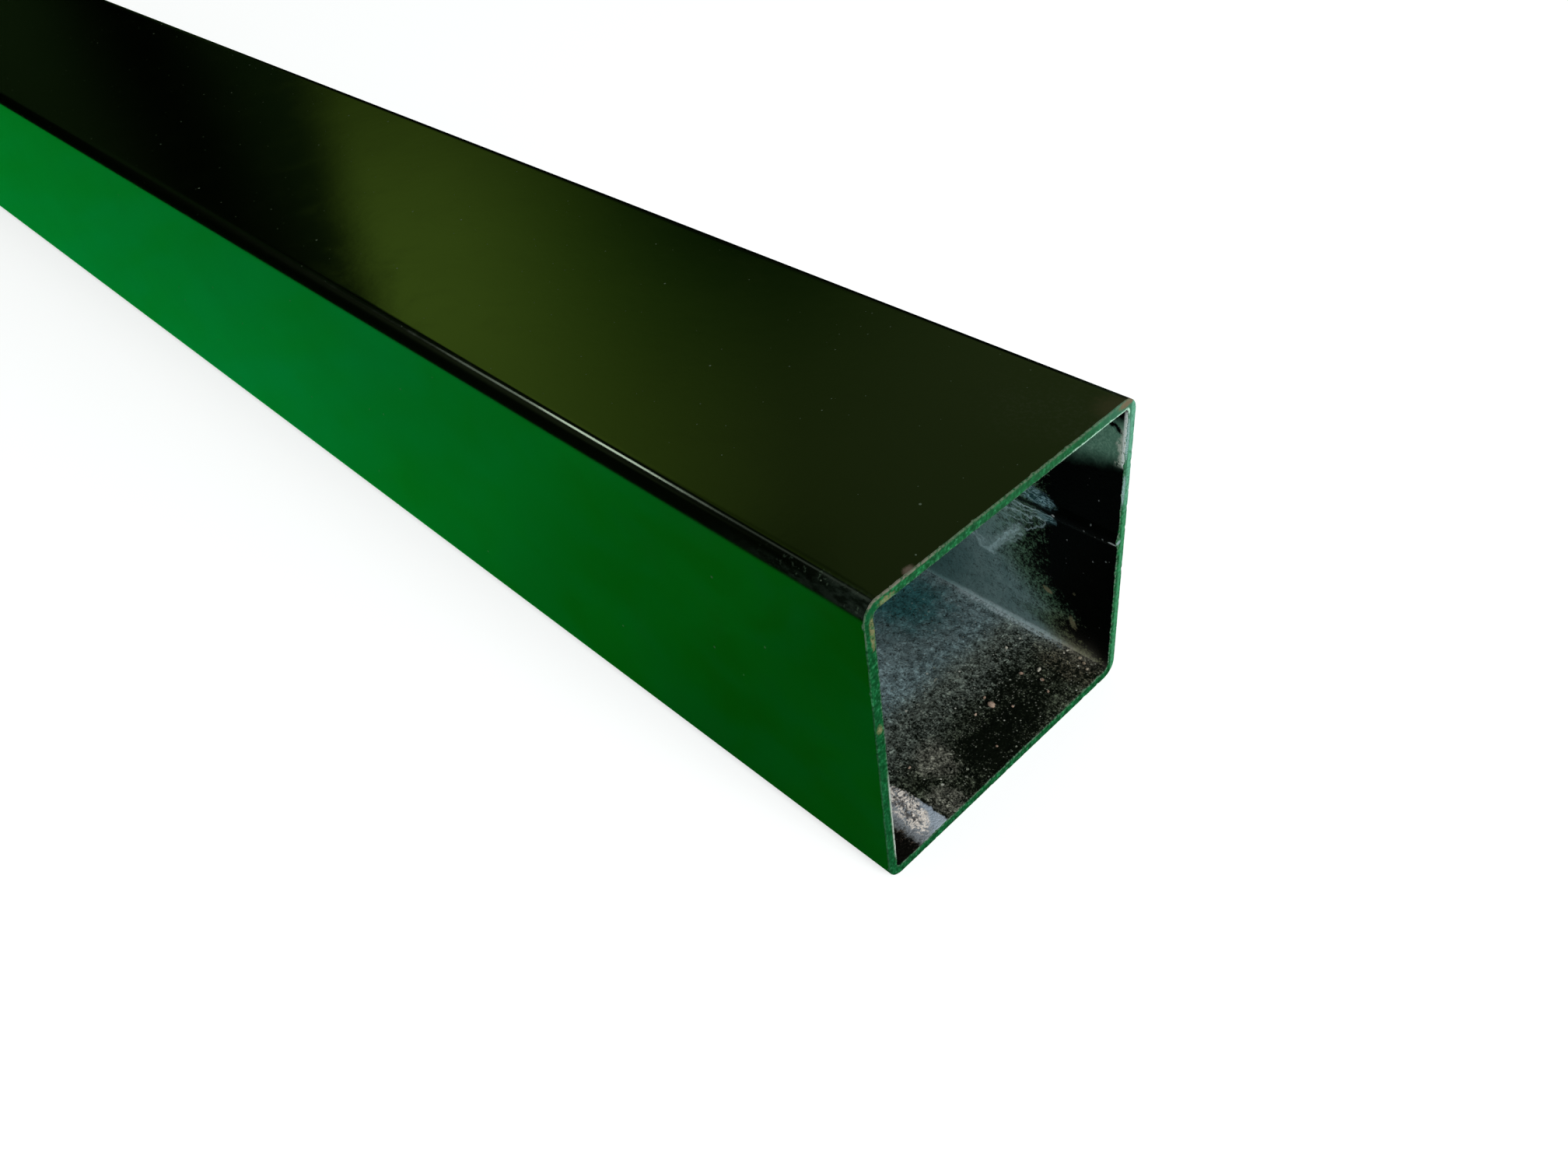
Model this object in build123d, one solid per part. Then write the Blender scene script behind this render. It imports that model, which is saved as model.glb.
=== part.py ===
from build123d import *
import os

# Square hollow section, welded, cold-formed steel, cut square at both ends.
# Millimetres. X runs along the tube, Z is up, the underside lies on z = 0,
# and the origin is the middle of the underside.

# Driving dimensions
SIDE = 50.0          # outside width and height of the section
WALL = 1.5           # wall thickness
R_OUT = 2.4          # outside corner radius
R_IN = R_OUT - WALL  # inside corner radius
LENGTH = 1000.0      # cut length

BEAD_W = 2.6         # width of the weld bead inside the +Y wall
BEAD_H = 0.45        # how far the bead stands off the wall
BEAD_Z = 26.5        # height of the bead's centre line above the underside

BREAK_OUT = 0.20     # edge break round the outside of each sawn end
BREAK_IN = 0.12      # edge break round the bore at each sawn end


def section():
    """The section in a plane whose x is the tube's Y and whose y is the tube's Z."""
    outer = RectangleRounded(SIDE, SIDE, R_OUT)
    bore = RectangleRounded(SIDE - 2 * WALL, SIDE - 2 * WALL, R_IN)
    wall_y = SIDE / 2 - WALL
    # The bead is the cap of a circle that has the bead's width and height.
    rho = (BEAD_W ** 2 / 4 + BEAD_H ** 2) / (2 * BEAD_H)
    cap = Pos(wall_y + rho - BEAD_H, BEAD_Z - SIDE / 2) * Circle(rho)
    strip = Pos(wall_y - BEAD_H, BEAD_Z - SIDE / 2) * Rectangle(2 * BEAD_H + WALL, BEAD_W * 1.5)
    bead = cap & strip
    return outer - bore + bead


def tube():
    plane = Plane.YZ.offset(-LENGTH / 2)
    body = extrude(plane * section(), LENGTH)
    for end in (-LENGTH / 2, LENGTH / 2):
        face = body.faces().filter_by(Axis.X).sort_by(lambda f: abs(f.center().X - end))[0]
        body = chamfer(face.outer_wire().edges(), BREAK_OUT)
    for end in (-LENGTH / 2, LENGTH / 2):
        face = body.faces().filter_by(Axis.X).sort_by(lambda f: abs(f.center().X - end))[0]
        body = chamfer(face.inner_wires()[0].edges(), BREAK_IN)
    return Pos(0, 0, SIDE / 2) * body


square_tube = tube()
square_tube.label = "square_tube"

os.makedirs("parts", exist_ok=True)
export_step(square_tube, "parts/square_tube.step")

box = square_tube.bounding_box()
print("square_tube", round(square_tube.volume, 1), "mm3,", box.min, box.max,
      "valid", square_tube.is_valid, "solids", len(square_tube.solids()))
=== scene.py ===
import math

import bmesh
import bpy
import numpy as np
from mathutils import Matrix, Vector, noise


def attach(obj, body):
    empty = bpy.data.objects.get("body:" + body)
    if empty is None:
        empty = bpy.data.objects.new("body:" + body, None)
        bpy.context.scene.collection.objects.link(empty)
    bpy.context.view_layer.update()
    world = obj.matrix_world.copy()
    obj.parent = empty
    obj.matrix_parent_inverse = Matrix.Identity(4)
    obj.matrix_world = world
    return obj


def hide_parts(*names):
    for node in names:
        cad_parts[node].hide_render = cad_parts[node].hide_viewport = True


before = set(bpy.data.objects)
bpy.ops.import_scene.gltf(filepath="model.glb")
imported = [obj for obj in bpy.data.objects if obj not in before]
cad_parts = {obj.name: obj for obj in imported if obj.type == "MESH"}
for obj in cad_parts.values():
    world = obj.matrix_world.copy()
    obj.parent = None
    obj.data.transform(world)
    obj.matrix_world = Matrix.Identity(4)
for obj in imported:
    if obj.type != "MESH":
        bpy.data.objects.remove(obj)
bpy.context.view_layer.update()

# ---------------------------------------------------------------- the tube's own sizes, mm
SIDE, WALL, R_OUT, LENGTH = 50.0, 1.5, 2.4, 1000.0
MID = SIDE / 2 - R_OUT          # corner arcs' centres
HALF = LENGTH / 2
BEAD_W, BEAD_H, BEAD_Z = 2.6, 0.45, 26.5


# ---------------------------------------------------------------- node helper
class Tree:
    """Builds a node tree out of sockets and plain numbers."""

    def __init__(self, owner):
        owner.use_nodes = True
        self.owner = owner
        self.tree = owner.node_tree
        self.tree.nodes.clear()
        self.coords = None

    def put(self, socket, value):
        if value is None:
            return
        if isinstance(value, bpy.types.NodeSocket):
            self.tree.links.new(value, socket)
        elif isinstance(value, (tuple, list)) and len(value) == 3 and socket.type == "RGBA":
            socket.default_value = (*value, 1.0)
        else:
            socket.default_value = value

    def node(self, kind, values=None, **props):
        n = self.tree.nodes.new(kind)
        for k, v in props.items():
            setattr(n, k, v)
        for k, v in (values or {}).items():
            self.put(n.inputs[k], v)
        return n

    # coordinates in millimetres
    def mm(self):
        if self.coords is None:
            tc = self.node("ShaderNodeTexCoord")
            s = self.node("ShaderNodeVectorMath", operation="SCALE")
            self.put(s.inputs[0], tc.outputs["Object"])
            s.inputs["Scale"].default_value = 1000.0
            x = self.node("ShaderNodeSeparateXYZ")
            self.put(x.inputs[0], s.outputs[0])
            self.coords = (s.outputs[0], x.outputs[0], x.outputs[1], x.outputs[2])
        return self.coords

    def math(self, op, a, b=None, c=None, clamp=False):
        n = self.node("ShaderNodeMath", operation=op, use_clamp=clamp)
        self.put(n.inputs[0], a)
        self.put(n.inputs[1], b)
        self.put(n.inputs[2], c)
        return n.outputs[0]

    def add(self, a, b): return self.math("ADD", a, b)
    def sub(self, a, b): return self.math("SUBTRACT", a, b)
    def mul(self, a, b): return self.math("MULTIPLY", a, b)
    def inv(self, a): return self.math("SUBTRACT", 1.0, a)
    def most(self, a, b): return self.math("MAXIMUM", a, b)
    def least(self, a, b): return self.math("MINIMUM", a, b)

    def step(self, value, lo, hi, to0=0.0, to1=1.0):
        """Smooth change from to0 at lo to to1 at hi. lo may be the larger."""
        if isinstance(lo, float) and isinstance(hi, float) and lo > hi:
            lo, hi, to0, to1 = hi, lo, to1, to0
        n = self.node("ShaderNodeMapRange", interpolation_type="SMOOTHSTEP", clamp=True)
        for i, v in enumerate((value, lo, hi, to0, to1)):
            self.put(n.inputs[i], v)
        return n.outputs[0]

    def ramp(self, value, lo, hi, to0=0.0, to1=1.0):
        n = self.node("ShaderNodeMapRange", interpolation_type="LINEAR", clamp=True)
        for i, v in enumerate((value, lo, hi, to0, to1)):
            self.put(n.inputs[i], v)
        return n.outputs[0]

    def bump_at(self, value, centre, width):
        """1 at centre, falling to 0 at width either side."""
        off = self.math("ABSOLUTE", self.sub(value, centre))
        return self.step(off, float(width), 0.0)

    def stretch(self, x=1.0, y=1.0, z=1.0, shift=(0, 0, 0)):
        m = self.node("ShaderNodeMapping", vector_type="POINT")
        self.put(m.inputs["Vector"], self.mm()[0])
        m.inputs["Scale"].default_value = (x, y, z)
        m.inputs["Location"].default_value = shift
        return m.outputs[0]

    def noise(self, scale, detail=2.0, rough=0.5, vector=None, distortion=0.0, out=0):
        n = self.node("ShaderNodeTexNoise", noise_dimensions="3D")
        self.put(n.inputs["Vector"], vector or self.mm()[0])
        n.inputs["Scale"].default_value = scale
        n.inputs["Detail"].default_value = detail
        n.inputs["Roughness"].default_value = rough
        n.inputs["Distortion"].default_value = distortion
        return n.outputs[out]

    def cells(self, scale, vector=None, feature="F1", out="Distance", randomness=1.0):
        n = self.node("ShaderNodeTexVoronoi", feature=feature)
        self.put(n.inputs["Vector"], vector or self.mm()[0])
        n.inputs["Scale"].default_value = scale
        n.inputs["Randomness"].default_value = randomness
        return n.outputs[out]

    def mix(self, fac, a, b, mode="MIX"):
        n = self.node("ShaderNodeMix", data_type="RGBA", blend_type=mode, clamp_factor=True)
        self.put(n.inputs[0], fac)
        self.put(n.inputs[6], a)
        self.put(n.inputs[7], b)
        return n.outputs[2]

    def dim(self, colour, factor):
        """A colour times a number."""
        n = self.node("ShaderNodeVectorMath", operation="SCALE")
        self.put(n.inputs[0], colour)
        self.put(n.inputs["Scale"], factor)
        return n.outputs[0]

    def blend(self, fac, a, b):
        n = self.node("ShaderNodeMix", data_type="FLOAT", clamp_factor=True)
        self.put(n.inputs[0], fac)
        self.put(n.inputs[2], a)
        self.put(n.inputs[3], b)
        return n.outputs[0]

    def bump(self, height, strength, distance_mm, normal=None):
        n = self.node("ShaderNodeBump")
        n.inputs["Strength"].default_value = strength
        n.inputs["Distance"].default_value = distance_mm * 0.001
        self.put(n.inputs["Height"], height)
        self.put(n.inputs["Normal"], normal)
        return n.outputs[0]

    def principled(self, **values):
        n = self.node("ShaderNodeBsdfPrincipled")
        for k, v in values.items():
            self.put(n.inputs[k.replace("_", " ")], v)
        o = self.node("ShaderNodeOutputMaterial")
        self.tree.links.new(n.outputs[0], o.inputs["Surface"])
        return self.owner


def material(name):
    return Tree(bpy.data.materials.new(name))


# ---------------------------------------------------------------- the tube's mesh
# A point of the section is centre + r * normal, where centre lies on the square through the corner arcs' centres,
# r is 0.9 on the bore and 2.4 on the outside. The same parameter runs round both skins.
def section(fine):
    """(centre, normal, flat, along) of the section's points, each coarse step divided into fine."""
    out = []
    for k in range(4):
        a = math.pi / 2 * k
        n = np.array([math.cos(a), math.sin(a)])
        t = np.array([-n[1], n[0]])
        steps = [-MID, -MID + 0.3, -MID + 0.8]
        steps += list(np.linspace(-MID + 1.8, MID - 1.8, 40))
        steps += [MID - 0.8, MID - 0.3, MID]
        if k == 0:                      # closer together across the weld bead
            mid = BEAD_Z - SIDE / 2
            half = BEAD_W / 2 + 0.25
            steps = [s for s in steps if abs(s - mid) > half + 0.3] + list(np.linspace(mid - half, mid + half, 13))
            steps.sort()
        for s0, s1 in zip(steps[:-1], steps[1:]):
            for f in range(fine):
                s = s0 + (s1 - s0) * f / fine
                out.append((MID * n + s * t, n, k, s))
        arcs = 12
        corner = MID * n + MID * t
        for i in range(arcs * fine):
            b = a + math.pi / 2 * i / (arcs * fine)
            out.append((corner, np.array([math.cos(b), math.sin(b)]), k + 0.5, i / (arcs * fine)))
    return (np.array([o[0] for o in out]), np.array([o[1] for o in out]),
            np.array([o[2] for o in out]), np.array([o[3] for o in out]))


FINE = 4
C1, N1, K1, S1 = section(1)
C4, N4, K4, S4 = section(FINE)


def wobble(p, scale, seed=0.0):
    return noise.noise(Vector((p[0] * scale + seed, p[1] * scale - seed, p[2] * scale + 2.3 * seed)))


def ring(c, n, r, x):
    """Points at offset r and length x. r and x are one number or one for each point."""
    r = np.broadcast_to(r, (len(c),))[:, None]
    x = np.broadcast_to(x, (len(c),))
    yz = c + r * n
    return np.column_stack([x, yz[:, 0], yz[:, 1] + SIDE / 2])


def bead(x, s, k):
    """How far the weld bead stands out of the +Y wall's inner face."""
    off = np.abs(s - (BEAD_Z - SIDE / 2))
    half, h = BEAD_W / 2, BEAD_H
    rad = (half * half + h * h) / (2 * h)
    cap = np.sqrt(np.maximum(rad * rad - off * off, 0)) - (rad - h)
    cap = np.where((k == 0) & (off < half), np.maximum(cap, 0), 0)
    lift = 0.82 + 0.16 * noise.noise(Vector((x * 0.55, 3.1, 0.0))) + 0.10 * noise.noise(Vector((x * 1.9, 9.1, 4.0)))
    return cap * min(lift, 1.0)


def skin_sag(x, k, s):
    """Cold-formed flats are very slightly hollow, and not quite even along the bar."""
    hollow = np.where(k % 1 == 0, np.cos(np.clip(s / MID, -1, 1) * math.pi / 2) ** 2, 0)
    return -0.03 * hollow * (0.75 + 0.25 * noise.noise(Vector((x * 0.006, 1.7, 8.0))))


def bore_slot(k, s):
    """Material slot of the bore's faces that start at this point of the section: bottom, weld side, or the other two."""
    if k == 3 or (k == 2.5 and s >= 0.5) or (k == 3.5 and s < 0.5):
        return 2
    if k == 0 or (k == 3.5 and s >= 0.5) or (k == 0.5 and s < 0.5):
        return 3
    return 4


def build_tube():
    verts, faces, mats = [], [], []
    bore1 = [bore_slot(k, s) for k, s in zip(K1, S1)]
    bore4 = [bore_slot(k, s) for k, s in zip(K4, S4)]

    def put(points):
        first = len(verts)
        verts.extend(map(tuple, points))
        return list(range(first, first + len(points)))

    def band(a, b, mat):
        n = len(a)
        for i in range(n):
            j = (i + 1) % n
            faces.append((a[i], a[j], b[j], b[i]))
            mats.append(mat[i] if isinstance(mat, list) else mat)

    def join(fine_ring, coarse_ring, mat, flip):
        """One face for each coarse step: FINE edges on one side, one on the other."""
        n = len(coarse_ring)
        m = len(fine_ring)
        for i in range(n):
            j = (i + 1) % n
            side = [fine_ring[(i * FINE + f) % m] for f in range(FINE + 1)]
            face = side + [coarse_ring[j], coarse_ring[i]]
            if flip:
                face = face[::-1]
            faces.append(tuple(face))
            mats.append(mat[i] if isinstance(mat, list) else mat)

    m = len(C4)
    end_rings = {}
    for end, sgn in (("near", 1.0), ("far", -1.0)):
        seed = 11.0 if end == "near" else 47.0
        pts = ring(C4, N4, 2.4, 0.0)
        # the saw's edge: broken by varying amounts, with a few nicks
        out_w = np.array([0.09 + 0.03 * wobble(p, 0.55, seed) + 0.03 * wobble(p, 2.1, seed + 3) for p in pts])
        in_w = np.array([0.12 + 0.08 * wobble(p, 0.8, seed + 7) + 0.07 * wobble(p, 2.6, seed + 9) for p in pts])
        nick = np.array([max(0.0, wobble(p, 1.3, seed + 21) - 0.38) for p in pts])
        out_w = np.clip(out_w + 0.45 * nick, 0.05, 0.30)
        in_w = np.clip(in_w + 0.4 * nick, 0.04, 0.42)
        lip = np.array([max(0.0, wobble(p, 1.1, seed + 31) - 0.05) for p in pts]) * 0.16   # burr on the inner edge
        face = lambda r, k=0.0: HALF - np.array([0.015 + 0.012 * wobble((r * 3, p[1], p[2]), 0.7, seed + k) for p in pts])
        loops = []
        # from the outside, over the rim, into the bore
        loops.append((2.4, HALF - 1.1, "skin"))
        loops.append((2.4, HALF - out_w * 1.5 - 0.10, "skin"))
        loops.append((2.4 - 0.04 * out_w, HALF - out_w, "rim"))
        loops.append((2.4 - 0.30 * out_w, HALF - 0.30 * out_w, "rim"))
        loops.append((2.4 - out_w, face(2.2) - 0.012, "rim"))
        loops.append((2.4 - out_w - 0.10, face(2.1), "rim"))
        loops.append((1.85, face(1.85, 2), "rim"))
        loops.append((1.50, face(1.5, 3), "rim"))
        loops.append((0.9 + in_w + 0.12, face(1.2, 4), "rim"))
        loops.append((0.9 + in_w, face(1.1, 5) + lip * 0.08, "rim"))
        loops.append((0.9 + 0.28 * in_w - 0.25 * lip, HALF - 0.30 * in_w, "rim"))
        loops.append((0.9 - lip * 0.8, HALF - in_w, "bore"))
        loops.append((0.9 - lip * 0.3, HALF - in_w - 0.22 - lip, "bore"))
        loops.append((0.9, HALF - 1.1, "bore"))
        made = []
        for r, x, kind in loops:
            x = np.broadcast_to(x, (m,))
            r = np.broadcast_to(r, (m,)).copy()
            if kind == "bore" or (isinstance(r, np.ndarray) and r.mean() < 1.1):
                r = r - bead(HALF, S4, K4)
            if kind == "skin" or r.mean() > 2.0:
                r = r + skin_sag(HALF, K4, S4)
            made.append((put(ring(C4, N4, r, sgn * x)), kind))
        for (a, ka), (b, kb) in zip(made[:-1], made[1:]):
            mat = 0 if ka == "skin" and kb == "skin" else bore4 if ka == "bore" and kb == "bore" else 1
            if sgn > 0:
                band(a, b, mat)
            else:
                band(b, a, mat)
        end_rings[end] = (made[0][0], made[-1][0])

    # outside, near to far
    xs = [HALF - d for d in (2.2, 4.0, 7.0, 12.0, 20.0, 32.0)]
    xs = xs + list(np.linspace(HALF - 50, -HALF + 50, 46)) + [-x for x in xs[::-1]]
    prev = None
    first_out = None
    for x in xs:
        cur = put(ring(C1, N1, 2.4 + skin_sag(x, K1, S1), x))
        if prev is None:
            first_out = cur
        else:
            band(cur, prev, 0)
        prev = cur
    join(end_rings["near"][0], first_out, 0, True)
    join(end_rings["far"][0], prev, 0, False)

    # bore, near to far
    ds = list(np.arange(1.8, 45.0, 0.6)) + [47, 51, 57, 65, 76, 90]
    tail = [2.0, 3.2, 4.6, 6.2, 8.0, 10.0, 12.5, 15.5, 19.0, 24.0, 31.0, 41.0, 55.0, 72.0, 90.0]
    xs = [HALF - d for d in ds] + list(np.linspace(HALF - 105, -HALF + 105, 56)) + [-HALF + d for d in tail[::-1]]
    prev = None
    first_in = None
    for x in xs:
        cur = put(ring(C1, N1, 0.9 - bead(x, S1, K1) + skin_sag(x, K1, S1), x))
        if prev is None:
            first_in = cur
        else:
            band(prev, cur, bore1)
        prev = cur
    join(end_rings["near"][1], first_in, bore1, False)
    join(end_rings["far"][1], prev, bore1, True)

    mesh = bpy.data.meshes.new("tube")
    mesh.from_pydata([(v[0] / 1000, v[1] / 1000, v[2] / 1000) for v in verts], [], faces)
    mesh.validate()
    mesh.polygons.foreach_set("material_index", mats)
    mesh.polygons.foreach_set("use_smooth", [True] * len(mesh.polygons))
    mesh.update()
    return mesh


# ---------------------------------------------------------------- materials
def paint_material():
    """Gloss paint: near-black olive over the top and its corners, and a bottle green on the sides and bottom that is a
    painted reflection of green surroundings.
    """
    t = material("gloss_paint_outside")
    _, x, y, z = t.mm()
    d = t.sub(HALF, x)                                     # distance from the near end
    fine = t.noise(1.6, 3.0, 0.6)
    broad = t.noise(0.045, 3.0, 0.55)
    streak = t.noise(0.9, 2.0, 0.5, vector=t.stretch(0.02, 1.0, 1.0))

    edge = t.add(z, t.mul(t.sub(t.noise(0.35, 2.0, 0.5), 0.5), 0.16))
    dark = t.step(edge, 47.50, 48.40)                      # 0 on the green, 1 on the dark top
    cloud = t.noise(0.055, 3.0, 0.6, vector=t.stretch(1.0, 1.0, 1.6, (30.0, 0.0, 9.0)), distortion=0.5)
    # painted reflection: the green of the sides and bottom, with its clouds and streaks, stands in for green
    # surroundings mirrored in the gloss
    green = t.mix(t.ramp(broad, 0.3, 0.7), (0.0001, 0.054, 0.0014), (0.0003, 0.070, 0.0034))
    green = t.mix(t.mul(t.step(cloud, 0.44, 0.62), 0.8), green, (0.0001, 0.066, 0.0058))
    green = t.mix(t.mul(t.step(cloud, 0.46, 0.34), 0.7), green, (0.0005, 0.054, 0.0006))
    green = t.mix(t.mul(streak, 0.25), green, (0.0003, 0.052, 0.0024))
    top = t.mix(broad, (0.0004, 0.0011, 0.0003), (0.0009, 0.0019, 0.0005))
    colour = t.mix(dark, green, top)

    # the paint along the top corner is scuffed grey just behind the near end
    corner = t.mul(t.step(z, 47.9, 48.5), t.step(t.math("ABSOLUTE", y), 21.6, 23.2))
    scuff = t.noise(1.5, 4.0, 0.65, vector=t.stretch(0.45, 1.0, 1.0, (0.0, 5.0, 2.0)))
    arc = t.mul(t.step(z, 47.9, 48.5), t.step(t.math("ABSOLUTE", y), 22.5, 23.6))
    dull = t.mul(t.mul(arc, t.step(d, 12.0, 1.0)), t.step(scuff, 0.40, 0.62, 0.2, 0.9))
    low = t.mul(t.mul(corner, t.step(z, 49.4, 48.9)), t.mul(t.step(d, 27.0, 10.0), t.step(scuff, 0.40, 0.60, 0.1, 0.45)))
    colour = t.mix(t.most(dull, low), colour, (0.0110, 0.0180, 0.0120))
    hair = t.mul(arc, t.mul(t.step(d, 22.0, 4.0), t.step(fine, 0.60, 0.68)))
    colour = t.mix(t.mul(hair, 0.45), colour, (0.045, 0.070, 0.045))

    # hairline of rubbed paint at the sawn ends, broken up
    end = t.sub(HALF, t.math("ABSOLUTE", x))
    rub = t.mul(t.step(end, 0.22, 0.08), t.step(fine, 0.40, 0.56))
    colour = t.mix(t.mul(rub, 0.7), colour, (0.085, 0.170, 0.105))

    # dust: sparse pale specks of two sizes
    def specks(scale, size, share, seed):
        v = t.stretch(1, 1, 1, (seed, seed * 1.7, seed * 0.6))
        near = t.cells(scale, v, out="Distance")
        pick = t.cells(scale, v, out="Color")
        r = t.node("ShaderNodeSeparateColor")
        t.put(r.inputs[0], pick)
        chosen = t.math("LESS_THAN", r.outputs[0], share)
        s = t.mul(t.add(0.35, r.outputs[1]), size * scale)
        return t.mul(chosen, t.math("LESS_THAN", near, s))
    dust = t.most(specks(0.35, 0.15, 0.24, 13.0), t.mul(specks(0.9, 0.08, 0.20, 5.0), 0.7))
    colour = t.mix(t.mul(dust, t.step(z, 48.5, 49.5, 0.3, 0.8)), colour, (0.075, 0.100, 0.065))

    # small tan stain on the top face beside the near rim
    stain = t.math("SQRT", t.add(t.math("POWER", t.sub(d, 0.35), 2.0), t.math("POWER", t.mul(t.add(y, 17.3), 0.7), 2.0)))
    stain = t.mul(t.step(t.add(stain, t.mul(fine, 0.8)), 1.25, 0.65), t.step(z, 49.0, 49.8))
    colour = t.mix(t.mul(stain, 0.55), colour, (0.150, 0.105, 0.078))

    worn = t.mul(t.step(z, 49.0, 49.8), oval(t, d, y, 0.0, 20.8, 2.6, 2.4, 0, 1.2, fine, 1.4))
    colour = t.mix(t.mul(worn, 0.30), colour, (0.045, 0.026, 0.018))
    film = t.mul(t.mul(t.step(z, 49.0, 49.8), t.step(d, 26.0, 3.0)), t.mul(t.step(y, 4.0, 18.0), t.step(broad, 0.40, 0.60, 0.3, 1.0)))
    colour = t.mix(t.mul(film, t.add(0.03, t.mul(t.step(fine, 0.45, 0.65), 0.10))), colour, (0.050, 0.046, 0.040))

    smudge = t.noise(0.12, 4.0, 0.6, distortion=0.4)
    rough = t.add(0.085, t.mul(t.step(smudge, 0.45, 0.75), 0.06))
    rough = t.add(rough, t.mul(fine, 0.02))
    rough = t.blend(t.mul(dull, 0.8), rough, 0.34)
    rough = t.blend(t.most(rub, stain), rough, 0.55)
    rough = t.blend(dust, rough, 0.7)

    peel = t.noise(0.55, 2.0, 0.5)
    flow = t.noise(0.030, 2.0, 0.5)
    nrm = t.bump(peel, 0.16, 0.035)
    nrm = t.bump(flow, 0.35, 0.25, nrm)
    nrm = t.bump(dust, 0.8, 0.05, nrm)
    return t.principled(Base_Color=colour, Roughness=rough, IOR=1.5, Normal=nrm)


def section_offset(t):
    """Offset of a point in the section from the square through the corner arcs' centres: 0.9 in the bore, 2.4 outside."""
    _, _, y, z = t.mm()
    dy = t.most(t.sub(t.math("ABSOLUTE", y), MID), 0.0)
    dz = t.most(t.sub(t.math("ABSOLUTE", t.sub(z, SIDE / 2)), MID), 0.0)
    return t.math("SQRT", t.add(t.mul(dy, dy), t.mul(dz, dz)))


def oval(t, a, b, a0, b0, ra, rb, turn=0.0, soft=0.5, ragged=None, amount=0.5):
    """1 inside an ellipse at (a0, b0) with those radii, turned by that many degrees, and 0 outside it."""
    u, v = t.sub(a, a0), t.sub(b, b0)
    if turn:
        c, s = math.cos(math.radians(turn)), math.sin(math.radians(turn))
        u, v = t.add(t.mul(u, c), t.mul(v, s)), t.sub(t.mul(v, c), t.mul(u, s))
    q = t.math("SQRT", t.add(t.math("POWER", t.mul(u, 1.0 / ra), 2.0), t.math("POWER", t.mul(v, 1.0 / rb), 2.0)))
    if ragged is not None:
        q = t.add(q, t.mul(t.sub(ragged, 0.5), amount))
    return t.step(q, 1.0 + soft / 2, 1.0 - soft / 2)


def lines(t, value, width):
    """Thin lines where a noise crosses its middle value."""
    return t.step(t.math("ABSOLUTE", t.sub(value, 0.5)), width, width * 0.25)


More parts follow.
